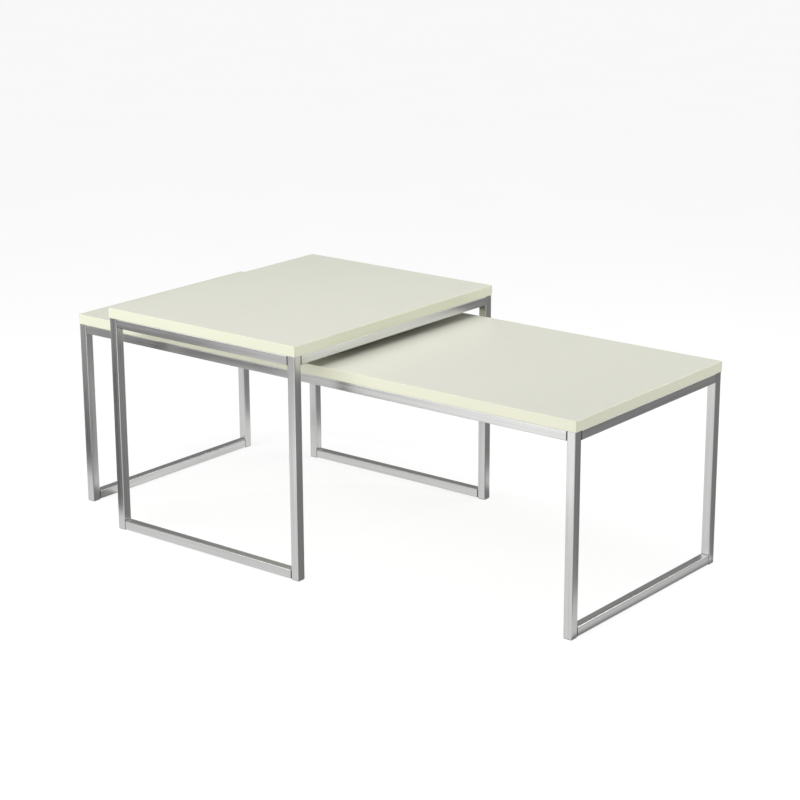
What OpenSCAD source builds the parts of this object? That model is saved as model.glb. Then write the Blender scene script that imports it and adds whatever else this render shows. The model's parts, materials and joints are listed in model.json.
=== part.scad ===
// A nest of two tables: a tall side table, and a long low table that slides through it.
// Each is a faced board with edge bands on a knock-down frame of square steel tube.
// X runs along the low table, Y from front to back, and Z up from the floor.
// The origin is on the floor, midway along the low table and across the tall one.

/* [Tall table] */
// Width of the tall table's top, along X
tall_w = 475; // [420:5:560]
// Depth of the tall table's top, along Y
tall_d = 600; // [580:5:700]
// Height of the tall table
tall_h = 450; // [440:1:520]

/* [Low table] */
// Length of the low table's top, along X
low_w = 1200; // [900:10:1400]
// Depth of the low table's top, along Y
low_d = 480; // [400:5:500]
// Height of the low table
low_h = 395; // [340:1:400]

/* [Placement] */
// How far the low table's middle stands to the right of the tall table's
pull_out = 190; // [0:5:300]
// How far the low table's middle stands behind the tall table's
set_back = 20; // [-20:1:20]

/* [Tops] */
// Thickness of a finished top
top_t = 20; // [18:1:22]
// Thickness of the laminate on each face of the board
laminate_t = 0.8; // [0.5:0.1:1]
// Thickness of the edge bands
band_t = 2; // [1.5:0.5:3]
// Radius of the bands' long outer edges
band_r = 1; // [0.5:0.1:1.4]
// How far a top stands out past its frame, all round
overhang = 1; // [0:0.5:3]

/* [Frames] */
// Outer side of the square tube
tube = 18; // [16:1:20]
// Wall of the tube
wall = 1.5; // [1:0.1:1.8]
// Outer corner radius of the tube
tube_r = 2; // [1.9:0.1:3]
// Thickness of the dark washer in each seam between a rail and a leg
washer_t = 1.2; // [0.8:0.1:2]
// How far each spigot stands out of its leg
spigot_l = 22; // [18:1:30]
// Sliding gap between a spigot or plug and the tube round it
fit_gap = 0.2; // [0.1:0.05:0.4]

/* [Glides] */
// Thickness of a glide's flange, under the leg
glide_t = 1.5; // [1:0.5:3]
// How far a glide's plug goes up its leg
glide_plug_h = 14; // [8:1:20]
// How far the flange stands in from the tube's outer faces
glide_inset = 0.5; // [0:0.1:1]

/* [Fixings] */
// Thread diameter of the screws
thread_d = 5; // [4:0.5:6]
// Length of a top screw, under its head
top_screw_l = 13; // [10:1:15]
// Length of a set screw
set_screw_l = 6; // [5:0.5:8]
// Outer diameter of a threaded insert
insert_d = 8; // [7:0.5:10]
// Length of a threaded insert
insert_l = 12; // [10:1:14]
// Top screws in each long rail of the tall table
tall_screws = 2; // [2:1:4]
// Top screws in each long rail of the low table
low_screws = 3; // [2:1:5]

/* [Hidden] */
cream = [0.91, 0.92, 0.85];
board_brown = [0.72, 0.60, 0.44];
satin_steel = [0.72, 0.72, 0.71];
dark_nylon = [0.10, 0.10, 0.10];
grey_nylon = [0.45, 0.45, 0.45];
zinc = [0.80, 0.80, 0.78];
yellow_brass = [0.78, 0.64, 0.33];

// Running clearance round a thread, and the free play of a drilled hole
thread_gap = 0.05;
hole_play = 0.4;
// Pan head of a top screw: diameter and height
head_d = 1.8 * thread_d;
head_h = 0.6 * thread_d;
// Hexagon socket of both screws, across its corners, and how deep it is
socket_d = 0.5 * thread_d;
socket_h = 0.4 * thread_d;
// Screwdriver hole under each top screw
access_d = head_d + 1;
// Distance from a top screw to its leg
screw_edge = 60;
// Overshoot that makes every cut run clear of its faces
cut = 1;
$fn = 32;

bore = tube - 2 * wall;
spigot = bore - 2 * fit_gap;

// A table is [name, width, depth, height, centre x, centre y, sides with a foot rail, screws a rail].
// The tall table's foot rails run along X and the low one's along Y, so that one passes the other.
tall = ["tall", tall_w, tall_d, tall_h, -pull_out, 0, ["front", "back"], tall_screws];
low = ["low", low_w, low_d, low_h, 0, set_back, ["left", "right"], low_screws];
TABLES = [tall, low];
function name(t) = t[0];
function width(t) = t[1];
function depth(t) = t[2];
function height(t) = t[3];
function centre(t) = [t[4], t[5], 0];
function foot_sides(t) = t[6];
function screw_count(t) = t[7];

// Outer size of a frame along X and along Y
function frame_w(t) = width(t) - 2 * overhang;
function frame_d(t) = depth(t) - 2 * overhang;
// Height of a top's underside, and of the middles of the rails
function under_top(t) = height(t) - top_t;
function top_rail_z(t) = under_top(t) - tube / 2;
foot_rail_z = glide_t + tube / 2;

// Corners as [name, side of the middle along X, side along Y]
CORNERS = [["front_left", -1, -1], ["front_right", 1, -1], ["back_left", -1, 1], ["back_right", 1, 1]];
LONG_SIDES = ["front", "back"];
SIDES = concat(LONG_SIDES, ["left", "right"]);
function along_x(side) = side == "front" || side == "back";
function outward(side) = side == "front" || side == "left" ? -1 : 1;
// Clear distance between the two legs that a rail joins
function span(t, side) = (along_x(side) ? frame_w(t) : frame_d(t)) - 2 * tube;
function rail_length(t, side) = span(t, side) - 2 * washer_t;
// Where the top screws lie along a long rail, from its middle
function screw_places(t) =
    let (reach = span(t, "front") / 2 - screw_edge, n = screw_count(t))
    [for (i = [0 : n - 1]) -reach + 2 * reach * i / (n - 1)];

SINGLE_PIECES = ["top_board", "top_laminate", "backing_laminate", "rail_spigots", "seam_washers",
    "set_screws", "top_screws", "top_inserts"];

// Square of a given side with rounded corners, centred
module rounded_square(side, r) {
    square([side, side - 2 * r], center = true);
    square([side - 2 * r, side], center = true);
    for (x = [-1, 1], y = [-1, 1])
        translate([x * (side / 2 - r), y * (side / 2 - r)]) circle(r);
}

// Tube standing on the XY plane
module square_tube(length) {
    linear_extrude(length) difference() {
        rounded_square(tube, tube_r);
        rounded_square(bore, tube_r - wall);
    }
}

// Puts its children at each leg's axis, on the floor
module at_corner(t, c) {
    x = c[1] * (frame_w(t) - tube) / 2;
    y = c[2] * (frame_d(t) - tube) / 2;
    translate(centre(t) + [x, y, 0]) children();
}

// Puts its children at the middle of a rail, with their X along it
module at_rail(t, side, z) {
    reach = outward(side) * ((along_x(side) ? frame_d(t) : frame_w(t)) - tube) / 2;
    place = along_x(side) ? [0, reach, z] : [reach, 0, z];
    translate(centre(t) + place) rotate([0, 0, along_x(side) ? 0 : 90]) children();
}

// Puts its children at both ends of a rail, on the leg's face, with X pointing into the rail
module at_rail_ends(t, side, z) {
    at_rail(t, side, z) for (turn = [0, 180])
        rotate([0, 0, turn]) translate([-span(t, side) / 2, 0, 0]) children();
}

// The same, at every rail end of a table
module at_all_ends(t) {
    for (side = SIDES) at_rail_ends(t, side, top_rail_z(t)) children();
    for (side = foot_sides(t)) at_rail_ends(t, side, foot_rail_z) children();
}

// Puts its children at each top screw, at the height of the top's underside
module at_screws(t) {
    for (side = LONG_SIDES) at_rail(t, side, under_top(t))
        for (x = screw_places(t)) translate([x, 0, 0]) children();
}

// Core of a top, with blind holes for the inserts
module top_board(t) {
    size = [width(t) - 2 * band_t, depth(t) - 2 * band_t, top_t - 2 * laminate_t];
    color(board_brown) difference() {
        translate(centre(t) + [-size.x / 2, -size.y / 2, under_top(t) + laminate_t]) cube(size);
        at_screws(t) cylinder(h = insert_l, d = insert_d);
    }
}

// Sheet of laminate over the board, from height z
module laminate(t, z) {
    size = [width(t) - 2 * band_t, depth(t) - 2 * band_t, laminate_t];
    color(cream) translate(centre(t) + [-size.x / 2, -size.y / 2, z]) cube(size);
}

module top_laminate(t) {
    laminate(t, height(t) - laminate_t);
}

module backing_laminate(t) {
    color(cream) difference() {
        laminate(t, under_top(t));
        at_screws(t) translate([0, 0, -cut]) cylinder(h = laminate_t + 2 * cut, d = insert_d);
    }
}

// Section of an edge band: flat against the board at y = 0, rounded at the far side
module band_section() {
    square([band_t - band_r, top_t]);
    translate([0, band_r]) square([band_t, top_t - 2 * band_r]);
    for (z = [band_r, top_t - band_r]) translate([band_t - band_r, z]) circle(band_r);
}

// The front and back bands cover the ends of the left and right ones
module edge_band(t, side) {
    length = along_x(side) ? width(t) : depth(t) - 2 * band_t;
    reach = (along_x(side) ? depth(t) : width(t)) / 2 - band_t;
    turn = side == "right" ? 0 : side == "back" ? 90 : side == "left" ? 180 : 270;
    color(cream) translate(centre(t) + [0, 0, under_top(t)]) rotate([0, 0, turn])
        translate([reach, length / 2, 0]) rotate([90, 0, 0]) linear_extrude(length) band_section();
}

module leg(t, c) {
    color(satin_steel) at_corner(t, c) translate([0, 0, glide_t]) square_tube(under_top(t) - glide_t);
}

// Rail along X, centred, with a set screw hole near each end of its underside
module rail(length) {
    difference() {
        translate([-length / 2, 0, 0]) rotate([0, 90, 0]) square_tube(length);
        for (turn = [0, 180]) rotate([0, 0, turn])
            translate([-length / 2 - washer_t + spigot_l / 2, 0, -tube / 2 - cut])
                cylinder(h = wall + 2 * cut, d = thread_d + hole_play);
    }
}

// Long top rails are also drilled through for the top screws and a screwdriver
module top_rail(t, side) {
    color(satin_steel) difference() {
        at_rail(t, side, top_rail_z(t)) rail(rail_length(t, side));
        if (along_x(side)) at_screws(t) {
            translate([0, 0, -wall - cut]) cylinder(h = wall + 2 * cut, d = thread_d + hole_play);
            translate([0, 0, -tube - cut]) cylinder(h = wall + 2 * cut, d = access_d);
        }
    }
}

module foot_rail(t, side) {
    color(satin_steel) at_rail(t, side, foot_rail_z) rail(rail_length(t, side));
}

// Square stubs fixed to the legs, which the rails slide over, tapped from below
module rail_spigots(t) {
    color(zinc) at_all_ends(t) difference() {
        translate([0, -spigot / 2, -spigot / 2]) cube([spigot_l, spigot, spigot]);
        translate([spigot_l / 2, 0, -tube / 2]) cylinder(h = set_screw_l + cut, d = thread_d);
    }
}

// Thin dark frames round the spigots, between the rails and the legs
module seam_washers(t) {
    outer = tube - 2 * fit_gap;
    color(dark_nylon) at_all_ends(t) rotate([0, 90, 0]) linear_extrude(washer_t) difference() {
        rounded_square(outer, tube_r);
        square(spigot + fit_gap, center = true);
    }
}

// Hexagon socket, cut into a screw from the plane z = 0 up
module socket() {
    translate([0, 0, -cut]) cylinder(h = socket_h + cut, d = socket_d, $fn = 6);
}

// Set screws, flush with the undersides of the rails that they lock to the spigots
module set_screws(t) {
    color(zinc) at_all_ends(t) translate([spigot_l / 2, 0, -tube / 2]) difference() {
        cylinder(h = set_screw_l, d = thread_d - 2 * thread_gap);
        socket();
    }
}

// Screws that hold the top, with their heads inside the rails
module top_screws(t) {
    color(zinc) at_screws(t) translate([0, 0, -wall - head_h]) difference() {
        union() {
            cylinder(h = head_h, d = head_d);
            cylinder(h = head_h + top_screw_l, d = thread_d - 2 * thread_gap);
        }
        socket();
    }
}

// Threaded inserts in the board, which the top screws go up into
module top_inserts(t) {
    color(yellow_brass) at_screws(t) difference() {
        cylinder(h = insert_l, d = insert_d);
        translate([0, 0, -cut]) cylinder(h = insert_l + 2 * cut, d = thread_d);
    }
}

// Moulded glide: a flange that the leg stands on, and a plug up inside the leg
module glide(t, c) {
    color(grey_nylon) at_corner(t, c) {
        linear_extrude(glide_t) rounded_square(tube - 2 * glide_inset, tube_r);
        linear_extrude(glide_t + glide_plug_h) square(spigot, center = true);
    }
}

for (t = TABLES) {
    top_board(t);
    top_laminate(t);
    backing_laminate(t);
    rail_spigots(t);
    seam_washers(t);
    set_screws(t);
    top_screws(t);
    top_inserts(t);
    for (side = SIDES) {
        edge_band(t, side);
        top_rail(t, side);
    }
    for (side = foot_sides(t))
        foot_rail(t, side);
    for (c = CORNERS) {
        leg(t, c);
        glide(t, c);
    }
}
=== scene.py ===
"""The look of a nest of two tables: a tall side table, and a long low one that slides through it."""
import json
import math

import bmesh
import bpy
from mathutils import Matrix, Vector

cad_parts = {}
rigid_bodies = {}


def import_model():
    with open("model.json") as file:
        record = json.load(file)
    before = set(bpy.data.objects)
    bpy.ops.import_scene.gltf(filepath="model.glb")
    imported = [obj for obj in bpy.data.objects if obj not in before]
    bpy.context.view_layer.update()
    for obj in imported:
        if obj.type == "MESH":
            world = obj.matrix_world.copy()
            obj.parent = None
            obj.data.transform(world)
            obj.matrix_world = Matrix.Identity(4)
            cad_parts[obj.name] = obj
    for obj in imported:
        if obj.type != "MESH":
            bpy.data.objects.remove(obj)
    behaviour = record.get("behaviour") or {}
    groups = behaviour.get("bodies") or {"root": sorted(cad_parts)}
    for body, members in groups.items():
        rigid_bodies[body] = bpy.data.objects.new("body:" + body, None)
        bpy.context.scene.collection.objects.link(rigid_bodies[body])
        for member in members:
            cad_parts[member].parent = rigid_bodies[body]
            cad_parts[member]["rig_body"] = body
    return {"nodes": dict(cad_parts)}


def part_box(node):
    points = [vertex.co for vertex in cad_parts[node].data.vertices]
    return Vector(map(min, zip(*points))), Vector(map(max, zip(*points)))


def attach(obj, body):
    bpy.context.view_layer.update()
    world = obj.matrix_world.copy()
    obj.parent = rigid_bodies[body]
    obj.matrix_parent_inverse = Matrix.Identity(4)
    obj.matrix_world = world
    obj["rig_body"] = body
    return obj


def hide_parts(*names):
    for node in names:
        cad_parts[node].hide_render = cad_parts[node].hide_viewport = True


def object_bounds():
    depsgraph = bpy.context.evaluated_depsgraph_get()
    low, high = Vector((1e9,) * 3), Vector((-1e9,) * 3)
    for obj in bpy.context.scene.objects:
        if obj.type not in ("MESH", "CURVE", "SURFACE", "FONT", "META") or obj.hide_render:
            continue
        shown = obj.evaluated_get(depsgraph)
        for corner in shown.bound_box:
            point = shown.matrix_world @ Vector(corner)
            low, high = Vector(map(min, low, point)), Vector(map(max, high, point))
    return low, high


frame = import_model()
CAD_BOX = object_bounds()

MM = 0.001
TABLES = ("tall", "low")
LONG_SIDES = ("front", "back")
SIDES = ("front", "back", "left", "right")
CORNERS = ("front_left", "front_right", "back_left", "back_right")
FOOT_SIDES = {"tall": ("front", "back"), "low": ("left", "right")}
OUT = {"front": (0, -1, 0), "back": (0, 1, 0), "left": (-1, 0, 0), "right": (1, 0, 0)}
X, Y, Z = 0, 1, 2

# Square tube: wall, outer corner radius and the small chamfer left by deburring
WALL = 1.5 * MM
TUBE_R = 2 * MM
BURR = 0.25 * MM
# Edge bands: outer rounding, rounding of the tops' corners, trimmed arris, and groove where two bands meet
BAND_R = 1 * MM
CORNER_R = 1 * MM
ARRIS = 0.15 * MM
JOINT = 0.5 * MM
# Screws, inserts, and the holes for them in the rails
THREAD_R = 2.45 * MM
THREAD_DEPTH = 0.4 * MM
THREAD_PITCH = 0.8 * MM
SOCKET_R = 1.25 * MM
SOCKET_H = 2 * MM
HEAD_H = 3 * MM
HEAD_ROUND = 1.4 * MM
INSERT_PITCH = 2 * MM
INSERT_DEPTH = 0.6 * MM
INSERT_BORE_R = 2.5 * MM
HOLE_PLAY = 0.25 * MM
ACCESS_R = 5 * MM
# Glides: room round the plug, height of the flange and of each barb, and how far the barbs stand out
PLUG_PLAY = 0.2 * MM
FLANGE_H = 1.5 * MM
BARB_H = 2.5 * MM
BARB_OUT = 0.4 * MM
# Points on a quarter round and round a full turn, and rings in each pitch of a thread
CORNER_STEPS = 6
TURN_STEPS = 36
PITCH_STEPS = 6
# Overshoot of a cutter past the face that it cuts
CLEAR = 1 * MM
# Middle part of a noise that colours and roughnesses are spread over
NOISE_LOW = 0.35
NOISE_HIGH = 0.65
# Sharp edges for shading: the least angle, in degrees, on most pieces, on fine threads and on thin sheets
SHARP = 35
SHARP_THREAD = 25
SHARP_SHEET = 20
# Brightness of the white that the camera sees behind the floor, and half the width of the horizon's blend
PLAIN_WHITE = 0.95
HORIZON = 0.04
# Half the width of the floor, in metres
FLOOR_REACH = 60


# ---- Shapes ----

def rounded_square(side, radius):
    """Outline of a square with rounded corners, about the origin."""
    flat = side / 2 - radius
    outline = []
    for quarter in range(4):
        middle = (flat if quarter in (0, 3) else -flat, flat if quarter < 2 else -flat)
        for step in range(CORNER_STEPS + 1):
            angle = (quarter + step / CORNER_STEPS) * math.pi / 2
            outline.append((middle[0] + radius * math.cos(angle), middle[1] + radius * math.sin(angle)))
    return outline


def turned(radius_at):
    """Outline about the origin whose radius at each angle is radius_at(angle)."""
    angles = [2 * math.pi * step / TURN_STEPS for step in range(TURN_STEPS)]
    return [(radius_at(a) * math.cos(a), radius_at(a) * math.sin(a)) for a in angles]


def circle(radius):
    return turned(lambda angle: radius)


def hexagon(radius):
    """Hexagon with its corners at that radius."""
    sixth = math.pi / 3
    return turned(lambda angle: radius * math.cos(sixth / 2) / math.cos(angle % sixth - sixth / 2))


def thread(root, crest, height, pitch):
    """Outline of a screw thread at one height: its ridge climbs a pitch in each turn."""
    def radius_at(angle):
        ridge = 1 - abs(2 * ((height / pitch - angle / (2 * math.pi)) % 1) - 1)
        return root + (crest - root) * ridge
    return turned(radius_at)


def ring_at(outline, height, axis, middle):
    """Sets a flat outline square to an axis, at a height along it."""
    ring = []
    for u, v in outline:
        point = Vector(middle)
        point[axis] = height
        point[(axis + 1) % 3] += u
        point[(axis + 2) % 3] += v
        ring.append(point)
    return ring


def loft(shape, rings, closed=False):
    """Skins rings that have the same number of points. The ends are capped, unless it closes on itself."""
    made = [[shape.verts.new(point) for point in ring] for ring in rings]
    pairs = list(zip(made, made[1:]))
    if closed:
        pairs.append((made[-1], made[0]))
    for ring, following in pairs:
        for i in range(len(ring)):
            j = (i + 1) % len(ring)
            shape.faces.new((ring[i], ring[j], following[j], following[i]))
    if not closed:
        shape.faces.new(made[0])
        shape.faces.new(made[-1])


def solid_boxes(node):
    """Lowest and highest corner of each separate solid in a CAD node, in a fixed order."""
    shape = bmesh.new()
    shape.from_mesh(frame["nodes"][node].data)
    bmesh.ops.remove_doubles(shape, verts=shape.verts, dist=MM / 1000)
    unseen = set(shape.verts)
    boxes = []
    for first in list(shape.verts):
        if first not in unseen:
            continue
        unseen.remove(first)
        solid, waiting = [], [first]
        while waiting:
            vert = waiting.pop()
            solid.append(vert.co.copy())
            for edge in vert.link_edges:
                other = edge.other_vert(vert)
                if other in unseen:
                    unseen.remove(other)
                    waiting.append(other)
        boxes.append((Vector(map(min, *solid)), Vector(map(max, *solid))))
    shape.free()
    return sorted(boxes, key=lambda box: tuple(box[0]))


def as_object(name, shape):
    """Turns a bmesh into an object in the scene."""
    bmesh.ops.recalc_face_normals(shape, faces=shape.faces)
    mesh = bpy.data.meshes.new(name)
    shape.to_mesh(mesh)
    shape.free()
    made = bpy.data.objects.new(name, mesh)
    bpy.context.scene.collection.objects.link(made)
    return made


def cut(piece, cutter):
    """Takes one object out of another, and deletes it."""
    boolean = piece.modifiers.new("cut", "BOOLEAN")
    boolean.operation = "DIFFERENCE"
    boolean.solver = "EXACT"
    boolean.object = cutter
    whole = piece.data
    piece.data = bpy.data.meshes.new_from_object(piece.evaluated_get(bpy.context.evaluated_depsgraph_get()))
    piece.modifiers.clear()
    bpy.data.meshes.remove(whole)
    bpy.data.objects.remove(cutter)


def put(piece, node, material, sharp=SHARP):
    """Finishes a piece that stands for a CAD node, and sets it on that node's body."""
    piece.data.materials.clear()
    piece.data.materials.append(material)
    piece.data.shade_smooth()
    piece.data.set_sharp_from_angle(angle=math.radians(sharp))
    # Flat faces keep their true normals, and the roundings beside them take up the turn
    piece.modifiers.new("normals", "WEIGHTED_NORMAL").keep_sharp = True
    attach(piece, frame["nodes"][node]["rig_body"])
    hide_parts(node)


# ---- Finishes ----

class Nodes:
    """A node tree, with a short way to add and join its nodes."""

    def __init__(self, tree):
        self.tree = tree

    def join(self, socket, value):
        """Sets a socket to a value, or links it."""
        if isinstance(value, bpy.types.NodeSocket):
            self.tree.links.new(value, socket)
        else:
            socket.default_value = value

    def node(self, kind, inputs, **settings):
        made = self.tree.nodes.new("ShaderNode" + kind)
        for key, value in settings.items():
            setattr(made, key, value)
        for key, value in inputs.items():
            self.join(made.inputs[key], value)
        return made


class Finish(Nodes):
    """A procedural material, with short ways to drive its shader."""

    def __init__(self, name, **sockets):
        self.material = bpy.data.materials.new(name)
        self.material.use_nodes = True
        super().__init__(self.material.node_tree)
        self.shader = self.tree.nodes["Principled BSDF"]
        for socket, value in sockets.items():
            self.give(socket.replace("_", " "), value)

    def give(self, socket, value):
        """Sets one of the shader's sockets to a value, or links it."""
        self.join(self.shader.inputs[socket], value)

    def place(self, repeats):
        """The object's own coordinates, times the repeats per metre along each axis."""
        spot = self.node("TexCoord", {}).outputs["Object"]
        return self.node("Mapping", {"Vector": spot, "Scale": repeats}).outputs["Vector"]

    def noise(self, repeats, detail=2.0):
        """Soft noise with that many repeats per metre along each axis."""
        where = {"Vector": self.place(repeats), "Scale": 1.0, "Detail": detail}
        return self.node("TexNoise", where).outputs["Fac"]

    def spread(self, factor, low, high):
        """Spreads the middle of a noise over a range."""
        middle = {"Value": factor, "From Min": NOISE_LOW, "From Max": NOISE_HIGH}
        return self.node("MapRange", middle | {"To Min": low, "To Max": high}).outputs["Result"]

    def tint(self, factor, dark, light):
        """Runs from one colour to another over the middle of a noise."""
        ramp = self.node("ValToRGB", {"Fac": factor})
        stops = ((NOISE_LOW, dark), (NOISE_HIGH, light))
        for element, (position, colour) in zip(ramp.color_ramp.elements, stops):
            element.position = position
            element.color = (*colour, 1)
        return ramp.outputs["Color"]

    def relief(self, height, depth, under=None):
        """Fine relief of that depth in metres, on top of any other."""
        inputs = {"Height": height, "Distance": depth, "Strength": 1.0}
        if under:
            inputs["Normal"] = under
        return self.node("Bump", inputs).outputs["Normal"]


def all_round(repeats):
    return (repeats, repeats, repeats)


def brushed_steel(axis):
    """Satin steel with fine brush lines along one axis, and faint clouds from handling."""
    finish = Finish("satin_steel_" + "xyz"[axis], Metallic=1.0, Anisotropic=0.45)
    across, along = 320.0, 3.0
    repeats = [along if i == axis else across for i in (X, Y, Z)]
    lines = finish.noise(repeats, detail=6.0)
    clouds = finish.noise(all_round(9.0), detail=2.0)
    finish.give("Base Color", finish.tint(lines, (0.60, 0.60, 0.595), (0.71, 0.71, 0.702)))
    soft = finish.spread(clouds, 0.29, 0.33)
    rough = finish.node("Math", {0: soft, 1: finish.spread(lines, -0.03, 0.03)}, operation="ADD")
    finish.give("Roughness", rough.outputs["Value"])
    finish.give("Normal", finish.relief(lines, 0.004 * MM))
    tangent = finish.node("Tangent", {}, direction_type="RADIAL", axis="XYZ"[axis])
    finish.give("Tangent", tangent.outputs["Tangent"])
    return finish.material


def cream_laminate():
    """Satin face of the tops: even cream, with a faint orange peel."""
    finish = Finish("cream_laminate", IOR=1.5)
    clouds = finish.noise(all_round(5.0), detail=4.0)
    finish.give("Base Color", finish.tint(clouds, (0.757, 0.764, 0.664), (0.767, 0.774, 0.674)))
    finish.give("Roughness", finish.spread(finish.noise(all_round(40.0)), 0.33, 0.39))
    peel = finish.relief(finish.noise(all_round(700.0)), 0.006 * MM)
    finish.give("Normal", finish.relief(finish.noise(all_round(60.0)), 0.03 * MM, peel))
    return finish.material


def cream_edge_band():
    """Extruded edge band, a shade yellower than the face, with faint lines along it."""
    finish = Finish("cream_edge_band", IOR=1.48)
    clouds = finish.noise(all_round(6.0), detail=3.0)
    finish.give("Base Color", finish.tint(clouds, (0.812, 0.816, 0.650), (0.822, 0.826, 0.662)))
    finish.give("Roughness", finish.spread(finish.noise(all_round(12.0)), 0.29, 0.32))
    lines = finish.noise((4.0, 4.0, 900.0))
    finish.give("Normal", finish.relief(lines, 0.0006 * MM))
    return finish.material


def backing_sheet():
    """Matt backing laminate under the tops, with paper fibres showing through."""
    finish = Finish("backing_sheet")
    fibres = finish.noise((260.0, 900.0, 260.0), detail=5.0)
    finish.give("Base Color", finish.tint(fibres, (0.60, 0.60, 0.52), (0.66, 0.66, 0.58)))
    finish.give("Roughness", finish.spread(fibres, 0.50, 0.60))
    finish.give("Normal", finish.relief(fibres, 0.02 * MM))
    return finish.material


def board_core():
    """Particle board: flat chips of many browns, pressed together."""
    finish = Finish("board_core")
    where = finish.place((300.0, 300.0, 900.0))
    chips = finish.node("TexVoronoi", {"Vector": where, "Scale": 1.0})
    shade = finish.node("SeparateColor", {"Color": chips.outputs["Color"]}).outputs["Red"]
    finish.give("Base Color", finish.tint(shade, (0.40, 0.28, 0.17), (0.66, 0.52, 0.35)))
    finish.give("Roughness", finish.spread(shade, 0.75, 0.9))
    finish.give("Normal", finish.relief(chips.outputs["Distance"], 0.15 * MM))
    return finish.material


def nylon(name, dark, light):
    """Moulded nylon with a fine spark-eroded texture."""
    finish = Finish(name)
    texture = finish.noise(all_round(2600.0), detail=3.0)
    finish.give("Base Color", finish.tint(finish.noise(all_round(150.0)), dark, light))
    finish.give("Roughness", finish.spread(texture, 0.46, 0.6))
    finish.give("Normal", finish.relief(texture, 0.012 * MM))
    return finish.material


def zinc_steel():
    """Bright zinc plate with small crystals of slightly different tone."""
    finish = Finish("zinc_steel", Metallic=1.0)
    crystals = finish.node("TexVoronoi", {"Vector": finish.place(all_round(1500.0)), "Scale": 1.0})
    shade = finish.node("SeparateColor", {"Color": crystals.outputs["Color"]}).outputs["Red"]
    finish.give("Base Color", finish.tint(shade, (0.60, 0.61, 0.60), (0.72, 0.72, 0.68)))
    finish.give("Roughness", finish.spread(shade, 0.22, 0.36))
    finish.give("Normal", finish.relief(crystals.outputs["Distance"], 0.004 * MM))
    return finish.material


def plain_steel():
    """Plain steel of the spigots, darker than the satin steel, and mottled."""
    finish = Finish("plain_steel", Metallic=1.0)
    marks = finish.noise(all_round(500.0), detail=5.0)
    finish.give("Base Color", finish.tint(marks, (0.36, 0.36, 0.36), (0.47, 0.47, 0.46)))
    finish.give("Roughness", finish.spread(marks, 0.35, 0.5))
    finish.give("Normal", finish.relief(marks, 0.01 * MM))
    return finish.material


def insert_brass():
    """Turned brass, with tool marks round it."""
    finish = Finish("insert_brass", Metallic=1.0)
    marks = finish.noise((60.0, 60.0, 5000.0))
    finish.give("Base Color", finish.tint(marks, (0.64, 0.47, 0.19), (0.76, 0.60, 0.28)))
    finish.give("Roughness", finish.spread(marks, 0.24, 0.36))
    finish.give("Normal", finish.relief(marks, 0.006 * MM))
    return finish.material


def pale_floor():
    """Pale grey floor that also gives off light, as a shooting table does, so that it looks white."""
    finish = Finish("pale_floor", Emission_Color=(1, 1, 1, 1), Emission_Strength=0.8)
    clouds = finish.noise(all_round(3.0), detail=4.0)
    finish.give("Base Color", finish.tint(clouds, (0.245, 0.245, 0.245), (0.255, 0.255, 0.255)))
    finish.give("Roughness", finish.spread(clouds, 0.85, 0.9))
    # Bounced rays find a floor this wide by themselves
    finish.material.cycles.emission_sampling = "NONE"
    return finish.material


# ---- Pieces of a table ----

def tube(node, axis, holes=()):
    """Square steel tube in a node's box, with deburred ends.

    Each hole is (x, y, radius, height of the face it starts from, and 1 to go up or -1 to go down).
    """
    low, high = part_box(node)
    middle = (low + high) / 2
    side = high[(axis + 1) % 3] - low[(axis + 1) % 3]
    start, end = low[axis], high[axis]

    def outer(inset, height):
        return ring_at(rounded_square(side - 2 * inset, TUBE_R - inset), height, axis, middle)

    def inner(inset, height):
        reach = side - 2 * WALL + 2 * inset
        return ring_at(rounded_square(reach, TUBE_R - WALL + inset), height, axis, middle)

    shape = bmesh.new()
    rings = [outer(BURR, start), outer(0, start + BURR), outer(0, end - BURR), outer(BURR, end)]
    rings += [inner(BURR, end), inner(0, end - BURR), inner(0, start + BURR), inner(BURR, start)]
    loft(shape, rings, closed=True)
    piece = as_object(node + "_tube", shape)
    if holes:
        drill = bmesh.new()
        for x, y, radius, face, inward in holes:
            # A cone deburrs the mouth of the hole
            flare = radius + BURR + CLEAR
            steps = [(flare, -CLEAR), (radius, BURR), (radius, WALL + CLEAR)]
            loft(drill, [ring_at(circle(r), face + inward * depth, Z, (x, y, 0)) for r, depth in steps])
        cut(piece, as_object("drill", drill))
    put(piece, node, STEEL[axis])


def within(box, point):
    """Whether a point lies inside a box, seen from above."""
    return all(box[0][i] < point[i] < box[1][i] for i in (X, Y))


def rail_holes(table, node):
    """Holes of a rail: one under each set screw, and a screw hole and an access hole at each top screw."""
    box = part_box(node)
    top, bottom = box[1].z, box[0].z
    holes = []
    for low, high in solid_boxes(table + "_set_screws"):
        middle = (low + high) / 2
        if within(box, middle) and abs(low.z - bottom) < MM:
            holes.append((middle.x, middle.y, (high.x - low.x) / 2 + HOLE_PLAY, bottom, 1))
    for low, high in solid_boxes(table + "_top_screws"):
        middle = (low + high) / 2
        if within(box, middle) and bottom < low.z < top:
            holes.append((middle.x, middle.y, THREAD_R + HOLE_PLAY, top, -1))
            holes.append((middle.x, middle.y, ACCESS_R, bottom, 1))
    return holes


def rail(table, node, side):
    """Rail along one side, with its holes."""
    tube(node, X if side in LONG_SIDES else Y, rail_holes(table, node))


def laminate(node):
    """Face laminate, its upper arris trimmed where it meets the bands."""
    low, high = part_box(node)

    def outline(inset, height):
        left, right, front, back = low.x + inset, high.x - inset, low.y + inset, high.y - inset
        corners = ((left, front), (right, front), (right, back), (left, back))
        return [Vector((x, y, height)) for x, y in corners]

    shape = bmesh.new()
    loft(shape, [outline(0, low.z), outline(0, high.z - ARRIS), outline(ARRIS, high.z)])
    put(as_object(node + "_sheet", shape), node, CREAM_LAMINATE, SHARP_SHEET)


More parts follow.
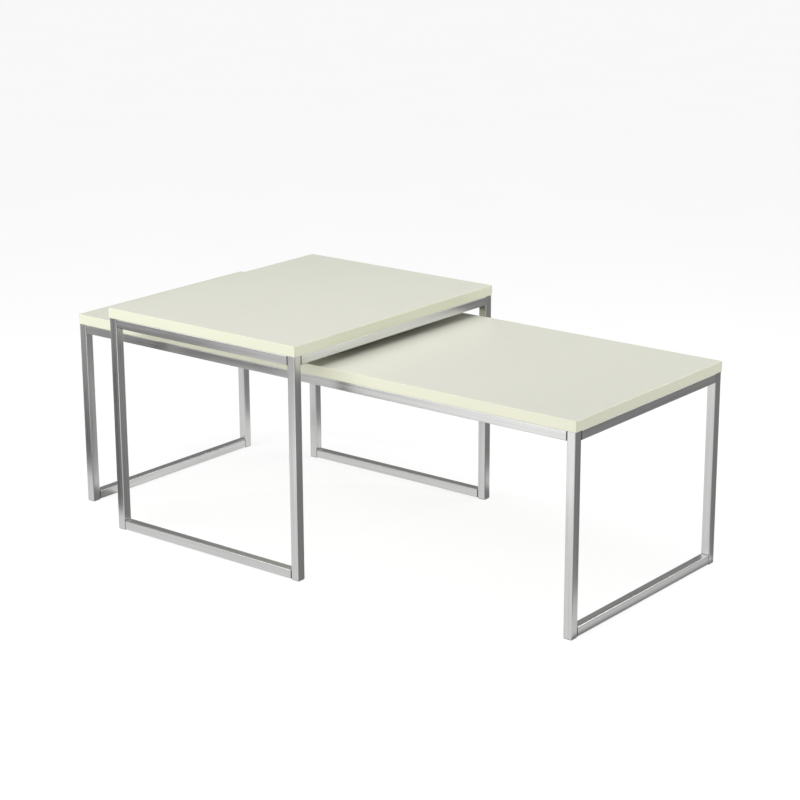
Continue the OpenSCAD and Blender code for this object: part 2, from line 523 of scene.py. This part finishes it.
def band_section(inner, outer, height):
    """Section of an edge band as (outwards, up): small arrises inside, and rounded outside."""
    radius = min(BAND_R, outer - inner - 2 * ARRIS)
    section = [(inner, ARRIS), (inner + ARRIS, 0)]
    for middle_up, first in ((radius, -1), (height - radius, 0)):
        for step in range(CORNER_STEPS + 1):
            angle = (first + step / CORNER_STEPS) * math.pi / 2
            section.append((outer - radius + radius * math.cos(angle), middle_up + radius * math.sin(angle)))
    return section + [(inner + ARRIS, height), (inner, height - ARRIS)]


def edge_band(node, side):
    """Edge band. The front and back ones turn the tops' corners, and the others butt against them."""
    low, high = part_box(node)
    along = X if side in LONG_SIDES else Y
    out = Vector(OUT[side])
    across = Y if along == X else X
    inner_face = low[across] if out[across] > 0 else high[across]
    thick, height, length = high[across] - low[across], high.z - low.z, high[along] - low[along]
    if along == X:
        # Distance from the end, inner and outer face there
        ends = [(0, JOINT, thick - CORNER_R)]
        for step in range(1, CORNER_STEPS + 1):
            turn = step / CORNER_STEPS * math.pi / 2
            distance = CORNER_R * (1 - math.cos(turn))
            ends.append((distance, max(JOINT - distance, 0), thick - CORNER_R * (1 - math.sin(turn))))
    else:
        ends = [(0, 0, thick - JOINT), (JOINT, 0, thick)]
    stations = ends + [(length - distance, inner, outer) for distance, inner, outer in reversed(ends)]
    rings = []
    for distance, inner, outer in stations:
        ring = []
        for outward, up in band_section(inner, outer, height):
            point = Vector((0, 0, low.z + up))
            point[along] = low[along] + distance
            point[across] = inner_face + out[across] * outward
            ring.append(point)
        rings.append(ring)
    shape = bmesh.new()
    loft(shape, rings)
    put(as_object(node + "_strip", shape), node, CREAM_EDGE_BAND)


def glide(node, leg):
    """Moulded glide: a flange with a rounded sole, and a barbed plug up inside the leg."""
    low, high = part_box(node)
    middle = (low + high) / 2
    side = high.x - low.x
    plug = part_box(leg)[1].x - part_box(leg)[0].x - 2 * (WALL + PLUG_PLAY)
    rings = []
    sole = FLANGE_H / 2
    for step in range(CORNER_STEPS + 1):
        angle = step / CORNER_STEPS * math.pi / 2
        inset = sole * (1 - math.sin(angle))
        rings.append((side - 2 * inset, TUBE_R - inset, sole * (1 - math.cos(angle))))
    rings.append((side, TUBE_R, FLANGE_H))
    # Each barb springs from a narrower neck, and slopes back to the next one
    neck, corner = plug - 2 * BARB_OUT, TUBE_R - WALL
    height = FLANGE_H
    while height + BARB_H <= high.z - low.z:
        rings += [(neck, corner, height), (neck, corner, height + BARB_H / 3)]
        rings += [(plug, corner, height + BARB_H / 3), (plug, corner, height + BARB_H / 2)]
        height += BARB_H
    rings += [(neck, corner, height), (plug - 4 * BARB_OUT, corner, high.z - low.z)]
    shape = bmesh.new()
    loft(shape, [ring_at(rounded_square(s, r), low.z + h, Z, middle) for s, r, h in rings])
    put(as_object(node + "_moulding", shape), node, GREY_NYLON)


def threaded(start, end):
    """Outlines and heights of a thread's rings, from one height to another, chamfered at the end."""
    steps = max(2, round((end - start) / THREAD_PITCH * PITCH_STEPS))
    root = THREAD_R - THREAD_DEPTH
    rings = []
    for step in range(steps + 1):
        height = start + (end - start) * step / steps
        crest = max(root, min(THREAD_R, root + (end - height)))
        rings.append((thread(root, crest, height, THREAD_PITCH), height))
    return rings


def screws(node, headed):
    """Every screw of a node: a hexagon socket below, a pan head if it has one, and a real thread."""
    shape = bmesh.new()
    for low, high in solid_boxes(node):
        middle = (low + high) / 2
        tall = high.z - low.z
        head_r = (high.x - low.x) / 2
        rings = [(hexagon(SOCKET_R), SOCKET_H), (hexagon(SOCKET_R), BURR / 2), (circle(SOCKET_R + BURR), 0)]
        if headed:
            rings.append((circle(head_r - HEAD_ROUND), 0))
            for step in range(1, CORNER_STEPS + 1):
                angle = step / CORNER_STEPS * math.pi / 2
                radius = head_r - HEAD_ROUND * (1 - math.sin(angle))
                rings.append((circle(radius), HEAD_ROUND * (1 - math.cos(angle))))
            rings.append((circle(head_r), HEAD_H))
            rings += threaded(HEAD_H, tall)
        else:
            rings.append((circle(THREAD_R - THREAD_DEPTH), 0))
            rings += threaded(BURR, tall)
        loft(shape, [ring_at(outline, low.z + height, Z, middle) for outline, height in rings])
    put(as_object(node + "_turned", shape), node, ZINC_STEEL, SHARP_THREAD)


def inserts(node):
    """Threaded inserts: a coarse thread outside, which grips the board, and a fine one in the bore."""
    shape = bmesh.new()
    for low, high in solid_boxes(node):
        middle = (low + high) / 2
        tall = high.z - low.z
        crest = (high.x - low.x) / 2
        steps = round(tall / INSERT_PITCH * PITCH_STEPS)
        heights = [tall * step / steps for step in range(steps + 1)]
        rings = [(thread(crest - INSERT_DEPTH, crest, h, INSERT_PITCH), h) for h in heights]
        steps = round(tall / THREAD_PITCH * PITCH_STEPS)
        heights = [tall * step / steps for step in range(steps, -1, -1)]
        rings += [(thread(INSERT_BORE_R, INSERT_BORE_R + THREAD_DEPTH, h, THREAD_PITCH), h) for h in heights]
        loft(shape, [ring_at(outline, low.z + h, Z, middle) for outline, h in rings], closed=True)
    put(as_object(node + "_turned", shape), node, INSERT_BRASS, SHARP_THREAD)


def refinish(node, material):
    """Gives a CAD node that keeps its shape a better material."""
    for slot in frame["nodes"][node].material_slots:
        slot.material = material


def build(table):
    """Every piece of one table."""
    laminate(table + "_top_laminate")
    for side in SIDES:
        edge_band(f"{table}_edge_band_{side}", side)
        rail(table, f"{table}_rail_{side}", side)
    for side in FOOT_SIDES[table]:
        rail(table, f"{table}_foot_rail_{side}", side)
    for corner in CORNERS:
        tube(f"{table}_leg_{corner}", Z)
        glide(f"{table}_glide_{corner}", f"{table}_leg_{corner}")
    screws(table + "_set_screws", headed=False)
    screws(table + "_top_screws", headed=True)
    inserts(table + "_top_inserts")
    refinish(table + "_top_board", BOARD_CORE)
    refinish(table + "_backing_laminate", BACKING_SHEET)
    refinish(table + "_rail_spigots", PLAIN_STEEL)
    refinish(table + "_seam_washers", DARK_NYLON)


# ---- Studio ----

def camera():
    """Camera at the front right, looking a little down, with a long lens."""
    azimuth, elevation, roll = (math.radians(degrees) for degrees in (38.58, 16.52, -0.24))
    # In metres: the distance from the CAD box's middle, and how far right of and above it the camera aims
    distance, aim_right, aim_up = 4.069, 0.0386, 0.0451
    right = Vector((math.cos(azimuth), math.sin(azimuth), 0))
    back = Vector((math.sin(azimuth) * math.cos(elevation), -math.cos(azimuth) * math.cos(elevation),
                   math.sin(elevation)))
    up = back.cross(right)
    data = bpy.data.cameras.new("camera")
    data.lens = 94.5
    made = bpy.data.objects.new("camera", data)
    bpy.context.scene.collection.objects.link(made)
    turn = Matrix((right, up, back)).transposed() @ Matrix.Rotation(roll, 3, "Z")
    made.matrix_world = turn.to_4x4()
    made.location = (CAD_BOX[0] + CAD_BOX[1]) / 2 + right * aim_right + up * aim_up + back * distance
    bpy.context.scene.camera = made


def floor_patch(name, corners, height):
    """Flat patch at one height, from its corners as seen from above."""
    shape = bmesh.new()
    shape.faces.new([shape.verts.new((x, y, height)) for x, y in corners])
    return as_object(name, shape)


def floor():
    """Wide pale floor under the glides. Reflections see the cards and the surroundings in its place."""
    corners = [(x * FLOOR_REACH, y * FLOOR_REACH) for x, y in ((-1, -1), (1, -1), (1, 1), (-1, 1))]
    made = floor_patch("floor", corners, CAD_BOX[0].z)
    made.data.materials.append(pale_floor())
    made.visible_glossy = False


def card(name, corners, tone):
    """Card just over the floor that only reflections see. Dark and pale ones give the metal its tones."""
    made = floor_patch(name, corners, CAD_BOX[0].z + MM / 2)
    finish = Finish(name, Base_Color=(0, 0, 0, 1), Emission_Color=(1, 1, 1, 1), Emission_Strength=tone)
    finish.material.cycles.emission_sampling = "NONE"
    made.data.materials.append(finish.material)
    made.visible_camera = made.visible_diffuse = False
    made.visible_transmission = made.visible_shadow = False


def lamp(name, kind, energy):
    """Light that isn't seen itself."""
    data = bpy.data.lights.new(name, kind)
    data.energy = energy
    made = bpy.data.objects.new(name, data)
    made.visible_camera = False
    bpy.context.scene.collection.objects.link(made)
    return made


def sunlight(azimuth, elevation, strength, softness):
    """Very soft light from one direction, as from a wide, distant window."""
    made = lamp("window", "SUN", strength)
    made.data.angle = math.radians(softness)
    made.rotation_euler = (math.radians(90 - elevation), 0, math.radians(azimuth))


def softbox(name, place, aim, size, brightness):
    """Rectangular softbox that faces a point, as bright to look at whatever its size."""
    made = lamp(name, "AREA", brightness * math.pi * size[0] * size[1])
    made.data.shape = "RECTANGLE"
    made.data.size, made.data.size_y = size
    made.location = place
    made.rotation_euler = (Vector(aim) - Vector(place)).to_track_quat("-Z", "Y").to_euler()


def surroundings(above, bright, dark):
    """Dim, even studio above the horizon, where the camera sees plain white instead.

    Below the horizon it goes from dark at the back right to bright at the front left. The floor hides that
    part from everything but reflections.
    """
    world = bpy.data.worlds.new("studio")
    world.use_nodes = True
    tree = Nodes(world.node_tree)
    background = world.node_tree.nodes["Background"]
    way = tree.node("TexCoord", {}).outputs["Generated"]
    front_left = (-0.62, -0.78, 0)
    toward = tree.node("VectorMath", {0: way, 1: front_left}, operation="DOT_PRODUCT").outputs["Value"]
    # How far a direction points to the front left, from -1 to 1: where the dark ends, and full light starts
    dark_end, light_start = -0.3, 0.8
    turn = {"Value": toward, "From Min": dark_end, "From Max": light_start, "To Min": dark, "To Max": bright}
    below = tree.node("MapRange", turn, interpolation_type="SMOOTHSTEP").outputs["Result"]
    height = tree.node("SeparateXYZ", {"Vector": way}).outputs["Z"]
    horizon = {"Value": height, "From Min": -HORIZON, "From Max": HORIZON, "To Min": below, "To Max": above}
    lit = tree.node("MapRange", horizon).outputs["Result"]
    by_camera = tree.node("LightPath", {}).outputs["Is Camera Ray"]
    seen = {"Value": by_camera, "To Min": lit, "To Max": PLAIN_WHITE}
    tree.join(background.inputs["Color"], (1, 1, 1, 1))
    tree.join(background.inputs["Strength"], tree.node("MapRange", seen).outputs["Result"])
    bpy.context.scene.world = world


def cards():
    """Cards round the tables, in metres. Front and right faces of the steel mirror them in the main view."""
    # Darkens the left legs, the tall table's front rail, and the left half of the low table's
    card("dark_card", ((-0.47, -0.37), (-1.3, -2.1), (-2.7, -2.1), (-0.88, -0.37)), 0.02)
    # Brightens the right end of the low table's front rail, and the upper part of the leg there
    card("pale_card_front", ((-0.4, -0.85), (0.35, -0.85), (0.35, -1.8), (-0.4, -1.8)), 1.4)
    # Brightens the right face of the low table's left foot rail, and short stretches of the left legs
    under_left = ((-0.58, -0.15), (-0.48, -0.15), (-0.25, 0.2), (0.15, 0.38), (0.15, 0.55), (-0.58, 0.4))
    card("pale_card_left", under_left, 0.8)
    # Brightens the right face of the low table's right foot rail, and the foot of its front right leg
    card("pale_card_right", ((0.61, -0.3), (0.72, -0.3), (0.72, 0.28), (0.61, 0.28)), 0.7)


def lights():
    """A very soft sun from the front right, and four softboxes. The rim light is for upper right edges."""
    sunlight(azimuth=30, elevation=58, strength=0.92, softness=60)
    softbox("overhead", (0.05, -0.1, 2.2), (0.05, -0.1, 0), (1.8, 1.4), 1.95)
    softbox("front", (-0.8, -1.7, 1.15), (-0.15, -0.25, 0.3), (1.8, 1.2), 2.1)
    softbox("right_back", (1.2, 1.3, 0.95), (0.1, 0, 0.4), (0.8, 0.5), 2.2)
    softbox("rim", (0.9, 1.65, 1.7), (0.1, 0, 0.4), (1.0, 0.4), 5.0)


STEEL = [brushed_steel(axis) for axis in (X, Y, Z)]
CREAM_LAMINATE = cream_laminate()
CREAM_EDGE_BAND = cream_edge_band()
BACKING_SHEET = backing_sheet()
BOARD_CORE = board_core()
DARK_NYLON = nylon("dark_nylon", (0.022, 0.022, 0.022), (0.035, 0.035, 0.035))
GREY_NYLON = nylon("grey_nylon", (0.27, 0.27, 0.27), (0.33, 0.33, 0.33))
ZINC_STEEL = zinc_steel()
PLAIN_STEEL = plain_steel()
INSERT_BRASS = insert_brass()

camera()
floor()
surroundings(above=0.26, bright=0.9, dark=0.26)
cards()
lights()
bpy.context.scene.view_settings.view_transform = "Standard"
for table in TABLES:
    build(table)
